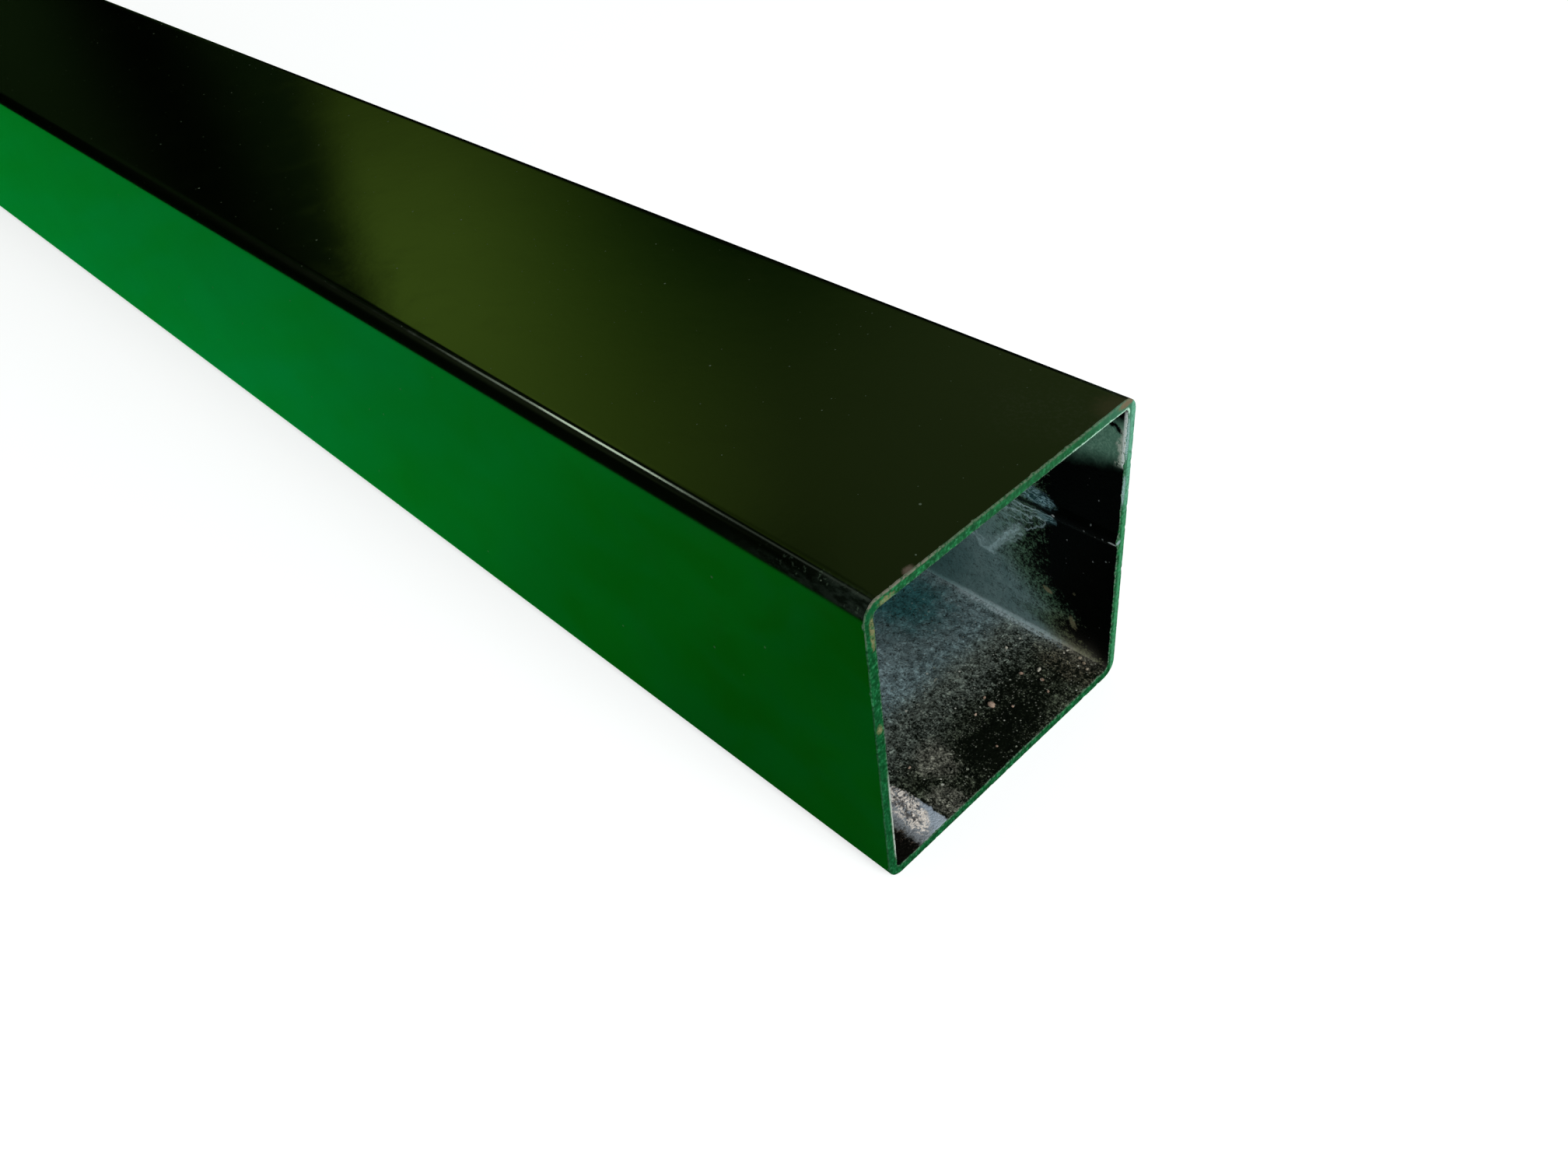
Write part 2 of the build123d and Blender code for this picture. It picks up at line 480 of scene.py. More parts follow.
def rim_material():
    """Sawn end: matt green that is a painted reflection of green surroundings, with saw marks, lighter edges that are
    worn and along the outside also carry a painted highlight, and a little rust.
    """
    t = material("gloss_paint_rim")
    _, _, y, z = t.mm()
    r = section_offset(t)
    fine = t.noise(2.2, 3.0, 0.6)
    tiny = t.noise(5.5, 2.0, 0.6)
    mid = t.noise(0.5, 3.0, 0.6)
    saw = t.noise(1.0, 3.0, 0.7, vector=t.stretch(0.2, 0.12, 3.2))
    # painted reflection: the green of the end face stands in for green surroundings mirrored in it
    colour = t.mix(t.ramp(mid, 0.3, 0.7), (0.0010, 0.062, 0.0140), (0.0042, 0.094, 0.0260))
    colour = t.mix(t.mul(t.step(saw, 0.45, 0.75), 0.45), colour, (0.0014, 0.040, 0.0088))
    colour = t.mix(t.mul(t.step(fine, 0.52, 0.66), 0.50), colour, (0.0260, 0.135, 0.0640))
    colour = t.mix(t.mul(t.step(tiny, 0.46, 0.36), 0.45), colour, (0.0010, 0.044, 0.0110))
    ups = t.add(t.mul(t.noise(1.2, 3.0, 0.6, vector=t.stretch(1, 1, 1, (4.0, 8.0, 1.0))), 0.55), t.mul(fine, 0.45))
    colour = t.dim(colour, t.math("EXPONENT", t.mul(t.sub(ups, 0.515), 5.5)))
    # greyer and paler along the top, where the light falls across it
    upper = t.mul(t.step(z, 47.2, 48.4), t.step(y, -24.0, 22.0, 0.35, 0.9))
    colour = t.mix(t.mul(upper, 0.5), colour, (0.0180, 0.104, 0.0400))
    # painted shade: the -Y side of the end face is darker
    colour = t.mix(t.mul(t.step(y, -23.0, -24.2), 0.35), colour, (0.0008, 0.050, 0.0120))

    # paler edges: the inner one worn, the outer one worn and with a painted highlight along it
    ragged = t.add(r, t.mul(t.sub(tiny, 0.5), 0.22))
    outer = t.mul(t.mul(t.step(ragged, 2.27, 2.35), t.step(fine, 0.36, 0.56)), t.most(t.step(y, -24.2, -23.0, 0.22, 1.0), t.step(z, 43.0, 45.0)))
    inner = t.step(t.add(r, t.mul(t.sub(t.noise(0.9, 3.0, 0.65), 0.5), 0.6)), 1.14, 0.98)
    inner = t.mul(inner, t.step(fine, 0.40, 0.60))
    colour = t.mix(t.mul(outer, 0.70), colour, (0.085, 0.140, 0.085))
    colour = t.mix(t.mul(inner, 0.75), colour, (0.100, 0.155, 0.110))
    # the outer edge is worn to a pinkish grey along the top, left of the middle
    bare = t.mul(t.mul(t.step(z, 48.8, 49.4), t.step(y, -10.0, -17.0, 0.35, 1.0)), t.step(ragged, 2.05, 2.22))
    colour = t.mix(t.mul(bare, t.step(fine, 0.38, 0.52, 0.2, 0.9)), colour, (0.135, 0.125, 0.095))

    # paler and bluer towards the top right, with a nearly white inner edge there
    high = t.mul(t.step(z, 34.0, 46.0), t.step(y, 12.0, 24.0))
    colour = t.mix(t.mul(high, 0.50), colour, (0.060, 0.185, 0.125))
    lip = t.mul(t.step(t.add(r, t.mul(t.sub(t.noise(0.7, 3.0, 0.6), 0.5), 0.7)), 1.26, 1.06), t.step(z, 47.0, 48.0))
    lip = t.mul(lip, t.step(y, 7.0, 15.0))
    colour = t.mix(t.mul(lip, t.step(fine, 0.34, 0.50, 0.15, 0.80)), colour, (0.400, 0.620, 0.480))
    # whitish inner edge low on the -Y side
    low = t.mul(t.mul(t.step(y, -23.0, -23.6), t.step(r, 1.35, 1.0)), t.mul(t.step(z, 3.0, 6.0), t.step(z, 23.0, 17.0)))
    colour = t.mix(t.mul(low, t.ramp(fine, 0.30, 0.5, 0.2, 1.0)), colour, (0.36, 0.40, 0.35))
    # the outer half of the +Y side is a paler, brighter green, more so towards the top: a painted green reflection
    # along that edge
    bright_green_edge_reflection = t.mul(t.step(y, 23.75, 24.35), t.step(fine, 0.36, 0.54, 0.30, 0.70))
    colour = t.mix(bright_green_edge_reflection, colour, t.mix(t.step(z, 29.0, 35.0), (0.050, 0.260, 0.115), (0.125, 0.360, 0.240)))
    # rust and tan bits
    tan = t.most(oval(t, y, z, -21.5, 48.95, 1.2, 0.42, 0, 0.8, fine, 1.6), oval(t, y, z, -24.25, 30.0, 0.5, 0.8, 0, 0.5, fine, 0.8))
    tan = t.most(tan, oval(t, y, z, -23.98, 45.8, 0.36, 2.5, 0, 0.6, fine, 1.2))
    tan = t.mul(tan, t.step(t.noise(1.3, 3.0, 0.7), 0.40, 0.58, 0.15, 1.0))
    colour = t.mix(t.mul(tan, 0.70), colour, (0.200, 0.170, 0.080))
    deep = oval(t, y, z, -23.75, 48.95, 1.1, 0.5, 45, 0.6, fine, 0.8)
    colour = t.mix(t.mul(deep, 0.75), colour, (0.0012, 0.070, 0.020))
    # the weld and two nicks show bare metal on the +Y side
    weld = t.mul(oval(t, y, z, 23.6, 26.3, 0.45, 0.35, 0, 0.6, fine, 0.7), 0.6)
    nicks = t.most(oval(t, y, z, 23.75, 35.2, 0.30, 2.4, 0, 0.6, fine, 1.4), oval(t, y, z, 23.7, 43.5, 0.32, 3.2, 0, 0.5, fine, 1.2))
    colour = t.mix(t.most(weld, t.mul(nicks, t.step(tiny, 0.38, 0.52, 0.15, 0.75))), colour, (0.240, 0.340, 0.350))
    red = oval(t, y, z, 22.8, 49.5, 1.6, 0.5, 0, 0.8, fine, 1.2)
    colour = t.mix(t.mul(red, 0.55), colour, (0.200, 0.075, 0.045))

    rough = t.add(0.50, t.mul(t.sub(fine, 0.5), 0.25))
    rough = t.blend(t.most(outer, inner), rough, 0.42)
    nrm = t.bump(saw, 0.55, 0.05)
    nrm = t.bump(fine, 0.5, 0.04, nrm)
    nrm = t.bump(tiny, 0.35, 0.02, nrm)
    return t.principled(Base_Color=colour, Roughness=rough, IOR=1.5, Specular_IOR_Level=0.06, Normal=nrm)


def point(t, a, b, jitter=None, amount=0.0):
    """The point (a, b, 0), moved about by a colour noise."""
    c = t.node("ShaderNodeCombineXYZ")
    t.put(c.inputs[0], a)
    t.put(c.inputs[1], b)
    if jitter is None:
        return c.outputs[0]
    off = t.node("ShaderNodeVectorMath", operation="SUBTRACT")
    t.put(off.inputs[0], jitter)
    off.inputs[1].default_value = (0.5, 0.5, 0.5)
    sc = t.node("ShaderNodeVectorMath", operation="SCALE")
    t.put(sc.inputs[0], off.outputs[0])
    sc.inputs["Scale"].default_value = amount
    flat = t.node("ShaderNodeVectorMath", operation="MULTIPLY")
    t.put(flat.inputs[0], sc.outputs[0])
    flat.inputs[1].default_value = (1.0, 1.0, 0.0)
    s = t.node("ShaderNodeVectorMath", operation="ADD")
    t.put(s.inputs[0], c.outputs[0])
    t.put(s.inputs[1], flat.outputs[0])
    return s.outputs[0]


def stroke(t, p, path, width, hard=0.25):
    """A soft stroke of that half width along a path of points."""
    best = None
    for (x0, y0), (x1, y1) in zip(path[:-1], path[1:]):
        ab = (x1 - x0, y1 - y0)
        size = ab[0] ** 2 + ab[1] ** 2
        ap = t.node("ShaderNodeVectorMath", operation="SUBTRACT")
        t.put(ap.inputs[0], p)
        ap.inputs[1].default_value = (x0, y0, 0.0)
        dot = t.node("ShaderNodeVectorMath", operation="DOT_PRODUCT")
        t.put(dot.inputs[0], ap.outputs[0])
        dot.inputs[1].default_value = (ab[0] / size, ab[1] / size, 0.0)
        h = t.math("ADD", dot.outputs["Value"], 0.0, clamp=True)
        along = t.node("ShaderNodeVectorMath", operation="SCALE")
        along.inputs[0].default_value = (ab[0], ab[1], 0.0)
        t.put(along.inputs["Scale"], h)
        away = t.node("ShaderNodeVectorMath", operation="DISTANCE")
        t.put(away.inputs[0], ap.outputs[0])
        t.put(away.inputs[1], along.outputs[0])
        best = away.outputs["Value"] if best is None else t.least(best, away.outputs["Value"])
    return t.step(best, width, width * hard)


def bore_material(wall):
    """Dusty blue-grey bare steel, with dark gloss overspray on it within about 12 mm of each sawn end."""
    t = material("bare_steel_" + wall)
    bottom_wall, weld_wall = wall == "bottom", wall == "weld_side"
    _, x, y, z = t.mm()
    d = t.sub(HALF, x)                                     # from the near end
    end = t.sub(HALF, t.math("ABSOLUTE", x))               # from the nearer end
    near_half = t.step(x, 0.0, 10.0)                       # for marks that are only at the near end
    fine = t.noise(2.6, 3.0, 0.65)
    grain = t.noise(2.5, 2.5, 0.72, vector=t.stretch(1, 1, 1, (7.0, 3.0, 5.0)))
    mid = t.noise(0.45, 3.0, 0.6)
    broad = t.noise(0.10, 2.0, 0.5)
    m = t.ramp(mid, 0.28, 0.72)
    b = t.ramp(broad, 0.3, 0.7)
    f01 = t.ramp(fine, 0.32, 0.68)
    edge = t.add(t.mul(t.sub(broad, 0.5), 9.0), t.mul(t.sub(mid, 0.5), 6.0))
    e = t.add(end, edge)
    sand = t.add(t.mul(t.noise(2.9, 2.0, 0.75, vector=t.stretch(1, 1, 1, (31.0, 13.0, 5.0))), 0.62), t.mul(t.noise(1.1, 2.0, 0.6), 0.38))
    sand = t.ramp(sand, 0.33, 0.67)                        # 0 to 1, about evenly spread

    def dusted(gate, gain):
        """How much light ground shows through the overspray's pepper; the higher the gate, the darker."""
        return t.math("MULTIPLY", t.sub(sand, gate), gain, clamp=True)

    # ---- bare steel, a little uneven; deeper in the bore it is dimmer and greener, which is painted shade
    steel = t.mix(m, (0.112, 0.178, 0.188), (0.180, 0.254, 0.264))
    steel = t.mix(t.mul(b, 0.30), steel, (0.140, 0.165, 0.150))
    if bottom_wall:
        steel = t.dim(steel, 0.88)
    else:
        steel = t.mix(t.mul(t.inv(f01), 0.40), steel, (0.050, 0.088, 0.094))
    # painted shade: darker and greener deep in the bore, where less light reaches
    if bottom_wall:
        deep = t.most(oval(t, d, y, 35.5, 15.5, 8.5, 6.5, 0, 1.2, mid, 0.8), t.mul(t.step(end, 31.0, 46.0), 0.8))
    else:
        deep = t.mul(t.step(end, 23.5, 34.0), 0.75)
    steel = t.mix(t.mul(deep, 0.90), steel, (0.022, 0.105, 0.108))

    if bottom_wall:
        bright = t.mul(oval(t, d, y, 25.0, 1.0, 6.6, 4.5, 0, 1.3, mid, 1.2), near_half)
        steel = t.mix(t.mul(bright, 0.50), steel, (0.250, 0.345, 0.360))
        # dark pepper that thickens towards the end, in clouds
        cloud = t.mul(oval(t, d, y, 7.8, -6.4, 3.5, 3.1, 0, 0.9, mid, 1.1), near_half)
        cloud2 = t.mul(oval(t, d, y, 2.2, -10.9, 2.8, 2.5, 0, 0.9, mid, 1.1), near_half)
        k = t.add(t.step(e, 22.0, 9.5, 0.00, 0.38), t.step(e, 12.0, 2.0, 0.0, 0.12))
        k = t.add(k, t.add(t.mul(cloud, -0.24), t.mul(cloud2, -0.22)))
        cloud3 = oval(t, d, y, 18.2, 7.6, 3.0, 3.2, 20, 1.2, mid, 1.6)
        k = t.add(k, t.mul(t.mul(cloud3, near_half), -0.12))
        cloud4 = t.mul(oval(t, d, y, 4.5, 20.6, 5.0, 2.6, 0, 1.0, mid, 1.6), near_half)
        k = t.add(k, t.mul(cloud4, -0.04))
        cloud5 = oval(t, d, y, 0.7, 12.0, 1.9, 8.5, 0, 0.9, mid, 1.2)
        k = t.add(k, t.mul(t.mul(cloud5, near_half), -0.22))
        pool = t.mul(oval(t, d, y, 3.3, 3.2, 3.7, 7.6, 12, 1.0, mid, 1.4), near_half)
        k = t.add(k, t.mul(pool, 0.26))
        pool2 = oval(t, d, y, 7.2, 11.2, 4.0, 4.0, 0, 1.2, mid, 1.6)
        k = t.add(k, t.mul(t.mul(pool2, near_half), 0.15))
        k = t.add(k, t.mul(t.sub(mid, 0.5), 0.30))
        light = dusted(k, 1.8)
        soot = t.mix(m, (0.0008, 0.0020, 0.0006), (0.0030, 0.0048, 0.0020))
        grey = (0.155, 0.182, 0.154)
        warm = (0.102, 0.120, 0.080)
        ground = t.mix(t.step(t.add(end, t.mul(edge, 0.4)), 21.5, 15.5), steel, grey)
        ground = t.mix(t.step(e, 14.0, 7.0), ground, warm)
        ground = t.mix(t.mul(t.most(cloud, cloud2), 0.8), ground, (0.185, 0.180, 0.146))
        ground = t.mix(t.mul(cloud4, 0.6), ground, (0.175, 0.145, 0.096))
        # coarse and uneven, with light grains
        ups = t.add(t.mul(t.noise(0.75, 2.0, 0.6), 0.50), t.add(t.mul(grain, 0.45), t.mul(fine, 0.30)))
        ups = t.math("EXPONENT", t.mul(t.sub(ups, 0.64), t.step(end, 34.0, 10.0, 4.0, 7.5)))
        colour = t.mix(light, soot, t.dim(ground, ups))
        # pale dust scattered on it: many small specks, few larger ones
        for scale, seed, size, share, most, hide in ((2.9, 3.0, 0.42, 0.30, 0.50, 0.7), (1.15, 8.0, 0.26, 0.15, 0.85, 0.0)):
            v = t.stretch(1, 1, 1, (seed, 11.0 - seed, 2.0))
            pick = t.node("ShaderNodeSeparateColor")
            t.put(pick.inputs[0], t.cells(scale, v, out="Color"))
            dots = t.mul(t.math("LESS_THAN", t.cells(scale, v), t.mul(pick.outputs[1], size)), t.math("LESS_THAN", pick.outputs[0], share))
            dots = t.mul(dots, t.mul(t.step(e, 30.0, 12.0, 0.15, most), t.inv(t.mul(pool, hide))))
            colour = t.mix(dots, colour, t.mix(pick.outputs[2], (0.230, 0.250, 0.190), (0.600, 0.600, 0.520)))

        # pale dried stripe beside the -Y corner: smooth next to the end, crumbly beyond
        pj = point(t, d, y, t.noise(0.8, 3.0, 0.6, out=1), 1.6)
        run = t.step(t.add(d, t.mul(mid, 8.0)), 40.0, 22.0)
        sy = t.add(y, t.mul(t.sub(t.noise(0.7, 3.0, 0.6), 0.5), 0.9))
        low_edge = t.step(d, 5.0, 12.0, 0.0, 0.75)
        high = t.step(t.add(sy, t.add(low_edge, t.mul(t.sub(grain, 0.5), 0.8))), -13.1, -13.5)
        under = t.step(t.add(sy, t.mul(t.sub(grain, 0.5), 2.6)), -19.5, -17.9)
        stripe = t.mul(t.mul(under, high), run)
        pale = t.mix(f01, (0.235, 0.255, 0.275), (0.370, 0.395, 0.420))
        pale = t.mix(t.mul(t.step(sy, -16.4, -18.8), 0.45), pale, (0.150, 0.160, 0.160))
        smooth = stroke(t, pj, [(3.4, -14.1), (0.5, -14.1), (-0.5, -14.8)], 2.1, 0.40)
        pale = t.mix(t.mul(smooth, 0.85), pale, t.mix(m, (0.370, 0.440, 0.520), (0.500, 0.570, 0.640)))
        brown = stroke(t, pj, [(12.0, -14.2), (8.6, -14.6), (5.5, -15.0), (3.6, -15.6)], 1.9, 0.5)
        pale = t.mix(t.mul(t.mul(brown, t.step(grain, 0.40, 0.50)), 0.80), pale, (0.060, 0.044, 0.034))
        crust = t.most(stroke(t, pj, [(12.5, -14.2), (9.9, -14.3), (6.5, -14.1), (4.4, -14.7), (2.8, -15.6), (1.6, -16.6)], 1.25, 0.6),
                       t.mul(stroke(t, pj, [(9.6, -15.8), (6.2, -16.5), (2.6, -17.0)], 0.95, 0.4), 0.85))
        wig = lines(t, t.noise(0.80, 3.0, 0.62, distortion=1.4), 0.085)
        wig = t.mul(t.mul(wig, crust), t.step(t.noise(0.8, 2.0, 0.5, vector=t.stretch(1, 1, 1, (9.0, 4.0, 1.0))), 0.34, 0.46))
        pale = t.mix(wig, pale, (1.00, 0.90, 0.80))
        colour = t.mix(t.mul(stripe, 0.97), colour, pale)
        gutter = t.mul(t.step(sy, -18.0, -19.0), t.step(end, 40.0, 10.0))
        colour = t.mix(t.mul(gutter, t.inv(t.mul(under, 0.9))), colour, t.mix(dusted(t.step(y, -18.0, -21.5, 0.45, 0.85), 1.6), (0.0035, 0.0030, 0.0020), (0.150, 0.115, 0.090)))
        gloss = 0.0
        dulled = stripe
    else:
        # wet-looking black, then a green-grey haze that lightens inward
        limit = t.add(t.ramp(z, 2.0, 14.0, -1.6, 10.2), t.mul(t.bump_at(z, 19.5, 6.0), 1.1))
        limit = t.add(limit, t.mul(t.bump_at(z, 4.8, 3.0), 4.2))
        u = t.sub(t.add(end, t.mul(edge, 0.25)), limit)
        level = t.ramp(t.add(u, t.mul(t.sub(mid, 0.5), 3.0)), 0.2, 14.5)
        haze = dusted(t.inv(t.math("POWER", t.mul(level, 1.54), 0.5)), 1.35)
        wet = t.step(level, 0.10, 0.0)
        black = t.mix(m, (0.0003, 0.0005, 0.0003), (0.0008, 0.0013, 0.0008))
        green = t.mix(f01, (0.080, 0.180, 0.100), (0.155, 0.300, 0.185))
        tone = t.mix(0.62, steel, t.mix(m, (0.165, 0.305, 0.300), (0.310, 0.490, 0.485)))
        # painted shade deep in the bore, on the walls too
        tone = t.mix(t.mul(deep, 0.85), tone, (0.040, 0.150, 0.150))
        tone = t.mix(t.step(u, 3.5, 13.0), green, tone)
        tone = t.mix(t.mul(t.step(z, 10.0, 5.0), t.step(end, 14.0, 5.0)), tone, (0.240, 0.260, 0.135))
        colour = t.mix(haze, black, tone)
        gloss, light, dulled = wet, haze, 0.0

    if weld_wall:
        # dried wash, from low and deep to high and near
        pw = point(t, d, z, t.noise(0.75, 4.0, 0.68, out=1), 2.3)
        veil = t.mul(stroke(t, pw, [(23.5, 17.2), (19.2, 21.2), (16.0, 23.8), (13.5, 24.6)], 2.6, 0.25), t.step(d, 12.0, 20.0, 0.55, 1.0))
        veil = t.mul(veil, t.step(z, 26.5, 25.5))
        comb = point(t, t.mul(t.add(d, z), 0.28), t.mul(t.sub(z, t.mul(d, 0.35)), 0.75))
        wash = t.noise(1.0, 3.0, 0.6, vector=comb, distortion=0.5)
        colour = t.mix(t.mul(veil, t.add(t.mul(lines(t, wash, 0.055), 0.85), t.mul(f01, 0.18))), colour, (0.190, 0.330, 0.310))
        wisp = None
        for path, half, strength in (
                (((26.6, 15.6), (25.0, 14.6), (23.5, 13.5), (21.8, 13.4)), 0.42, 0.80),
                (((26.4, 17.0), (24.6, 15.6), (23.2, 14.4)), 0.34, 0.60),
                (((24.2, 13.6), (22.6, 12.9), (21.2, 13.2)), 0.32, 0.55),
                (((22.6, 13.2), (20.9, 15.2), (18.7, 18.4), (17.0, 20.2)), 0.55, 1.00),
                (((21.4, 14.0), (19.4, 16.4), (17.6, 18.8), (16.2, 19.6)), 0.38, 0.65),
                (((20.4, 15.4), (18.0, 17.6), (16.4, 18.4)), 0.28, 0.35),
                (((20.8, 16.2), (18.8, 19.2), (16.9, 21.2)), 0.34, 0.55),
                (((19.8, 23.6), (17.6, 25.1), (14.8, 25.1), (11.0, 25.5)), 0.24, 0.95),
                (((20.0, 22.9), (17.4, 23.3), (14.6, 23.7), (12.0, 24.2)), 0.22, 0.70),
                (((18.2, 24.3), (15.6, 24.3), (12.6, 24.9)), 0.18, 0.55),
                (((19.4, 21.9), (17.0, 22.2), (14.4, 22.6)), 0.18, 0.45),
                (((15.6, 20.6), (13.3, 22.3), (11.7, 24.4)), 0.26, 0.50)):
            s = t.mul(stroke(t, pw, path, half, 0.2), strength)
            wisp = s if wisp is None else t.most(wisp, s)
        glow = stroke(t, pw, [(25.8, 15.2), (22.5, 13.8), (20.4, 16.2), (16.8, 20.4)], 1.7, 0.15)
        wisp = t.most(wisp, t.mul(glow, 0.32))
        wisp = t.mul(wisp, t.add(0.50, t.mul(f01, 0.50)))
        colour = t.mix(wisp, colour, (0.520, 0.740, 0.760))
        dulled = t.most(wisp, veil)

        # the weld: a heat-blued patch above a dark line of painted shade along the bead, and pale spatter where it
        # meets the gloss
        wz = t.add(z, t.mul(t.sub(t.noise(0.25, 2.0, 0.5), 0.5), 0.5))
        blue = t.most(oval(t, d, z, 14.2, 28.0, 3.0, 1.1, 8, 0.9, fine, 1.2), t.mul(oval(t, d, z, 12.0, 24.9, 1.5, 0.8, 10, 0.9, fine, 1.2), 0.8))
        blue = t.most(blue, t.mul(t.bump_at(wz, BEAD_Z, 3.4), t.step(d, 16.0, 21.0)))
        streaks = t.noise(1.0, 3.0, 0.7, vector=t.stretch(0.45, 1.0, 2.2), distortion=0.9)
        colour = t.mix(t.mul(blue, 0.55), colour, (0.030, 0.095, 0.110))
        colour = t.mix(t.mul(blue, t.mul(lines(t, streaks, 0.06), 0.90)), colour, (0.250, 0.440, 0.480))
        # painted shade: a dark line along the weld bead
        bead_shade_line = t.mul(t.bump_at(wz, BEAD_Z - 0.1, 0.60), t.step(end, 9.8, 11.5))
        colour = t.mix(t.mul(bead_shade_line, 0.90), colour, (0.004, 0.008, 0.008))
        spat = t.most(oval(t, d, z, 10.6, 26.0, 0.28, 0.20, 0, 0.6, fine, 0.6), t.mul(oval(t, d, z, 0.8, 25.9, 0.62, 0.18, 0, 0.6, fine, 1.2), 0.7))
        for a0, b0, r0 in ((4.4, 27.4, 0.20), (5.4, 25.8, 0.24), (3.5, 32.0, 0.18), (8.3, 22.5, 0.17), (3.8, 20.8, 0.18), (1.7, 21.9, 0.20), (3.6, 25.6, 0.17), (2.3, 25.9, 0.22)):
            spat = t.most(spat, t.mul(oval(t, d, z, a0, b0, r0 * 0.6, r0 * 0.75, 0, 1.0, fine, 1.2), 0.26))
        colour = t.mix(t.mul(spat, 0.85), colour, (0.50, 0.56, 0.55))

        # high up beside the end, a dull green-grey patch that is a painted reflection of the lit opposite wall, with
        # chips at the rim
        zz = t.add(t.add(z, t.mul(d, 0.25)), t.mul(t.sub(mid, 0.5), 1.6))
        lit = t.mul(t.step(zz, 38.0, 42.6), t.step(d, 15.0, 7.0))
        lit = t.mul(lit, t.step(t.add(z, t.mul(fine, 1.6)), 47.6, 45.6))
        lit = t.mul(lit, t.inv(stroke(t, pw, [(3.6, 46.0), (2.6, 45.4), (0.3, 44.2)], 0.6, 0.3)))
        colour = t.mix(t.mul(lit, 0.85), colour, t.mix(t.mul(m, f01), (0.072, 0.190, 0.128), (0.190, 0.370, 0.270)))
        chips = t.mul(t.step(t.add(d, t.mul(t.sub(mid, 0.5), 3.4)), 1.6, 0.9), t.mul(t.step(z, 38.6, 39.6), t.step(z, 45.4, 44.2)))
        chips = t.mul(chips, t.step(t.add(grain, t.mul(d, -0.03)), 0.34, 0.46))
        colour = t.mix(chips, colour, t.mix(f01, (0.220, 0.310, 0.240), (0.520, 0.580, 0.500)))
        bright = t.mul(t.mul(t.step(d, 0.70, 0.40), t.step(fine, 0.36, 0.46)), t.mul(t.step(z, 38.8, 39.6), t.step(z, 48.2, 47.2)))
        colour = t.mix(t.mul(bright, 0.9), colour, (0.700, 0.800, 0.760))
        dulled = t.most(t.most(dulled, chips), lit)

        # tan dots low down
        tan = t.most(oval(t, d, z, 11.3, 11.1, 0.85, 0.45, 20, 0.5, fine, 1.2), t.mul(oval(t, d, z, 6.6, 7.0, 0.50, 1.15, -25, 0.6, fine, 1.6), 0.8))
        tan = t.most(tan, t.mul(oval(t, d, z, 6.6, 12.9, 0.26, 0.24, 0, 0.6, fine, 1.0), 0.3))
        colour = t.mix(t.mul(t.mul(tan, 0.75), t.step(grain, 0.34, 0.52, 0.35, 1.0)), colour, (0.230, 0.215, 0.120))

    if not bottom_wall:
        # pale specks in the gloss
        v2 = t.stretch(1, 1, 1, (1.0, 4.0, 9.0))
        white = t.mul(t.math("LESS_THAN", t.cells(0.9, v2), 0.075), t.math("GREATER_THAN", t.noise(0.3, 1.0, 0.5), 0.56))
        colour = t.mix(t.mul(t.mul(white, wet), 0.20), colour, (0.30, 0.31, 0.30))

    if bottom_wall or weld_wall:
        # a band of pale dust along the +Y corner, browner and gritty at the end, which also paints light over the
        # corner's shade
        q = t.sub(23.5, y) if bottom_wall else t.sub(z, WALL)
        q = t.most(t.add(q, t.mul(t.sub(mid, 0.5), 1.6)), 0.0)
        fade = t.math("EXPONENT", t.mul(q, -0.9 if bottom_wall else -1.1))
        fade = t.mul(fade, t.mul(t.step(d, 1.0, 3.4, 0.12, 0.80), t.step(d, 25.0, 34.0, 1.0, 0.40)))
        if weld_wall:
            fade = t.most(fade, t.mul(t.math("EXPONENT", t.mul(q, -0.25)), t.step(d, 9.0, 17.0, 0.0, 0.20)))
        fade = t.mul(fade, t.step(x, 300.0, 420.0))
        dust_and_light_colour = t.mix(t.step(d, 15.0, 6.0), (0.330, 0.420, 0.420) if bottom_wall else (0.390, 0.500, 0.500), (0.355, 0.335, 0.265))
        speckled = t.add(0.15, t.mul(dusted(0.25, 2.0), 0.85)) if bottom_wall else 1.0
        colour = t.mix(t.mul(t.mul(fade, speckled), 0.95), colour, dust_and_light_colour)
        # a thin pale line along the corner itself: dust and painted light
        corner_dust_and_light_line = t.math("ABSOLUTE", t.sub(t.sub(y, z), t.add(21.35, t.mul(t.sub(t.noise(0.35, 3.0, 0.6), 0.5), 1.6))))
        corner_dust_and_light_line = t.mul(t.step(corner_dust_and_light_line, 0.36, 0.08), t.mul(t.step(z, 2.7, 2.2), t.step(y, 21.5, 22.0)))
        corner_dust_and_light_line = t.mul(corner_dust_and_light_line, t.mul(t.step(d, 6.0, 12.0), t.step(d, 32.0, 23.0)))
        colour = t.mix(t.mul(corner_dust_and_light_line, t.step(grain, 0.40, 0.56, 0.08, 0.6)), colour, (0.460, 0.560, 0.580))
        dulled = t.most(dulled, fade)

    rough = t.add(0.50, t.mul(fine, 0.28))
    rough = t.blend(gloss, rough, t.add(0.16, t.mul(t.step(mid, 0.45, 0.7), 0.14)))
    rough = t.blend(dulled, rough, 0.62)
    metal = t.mul(t.mul(t.step(end, 12.0, 32.0), 0.25), t.mul(light, t.inv(dulled)))

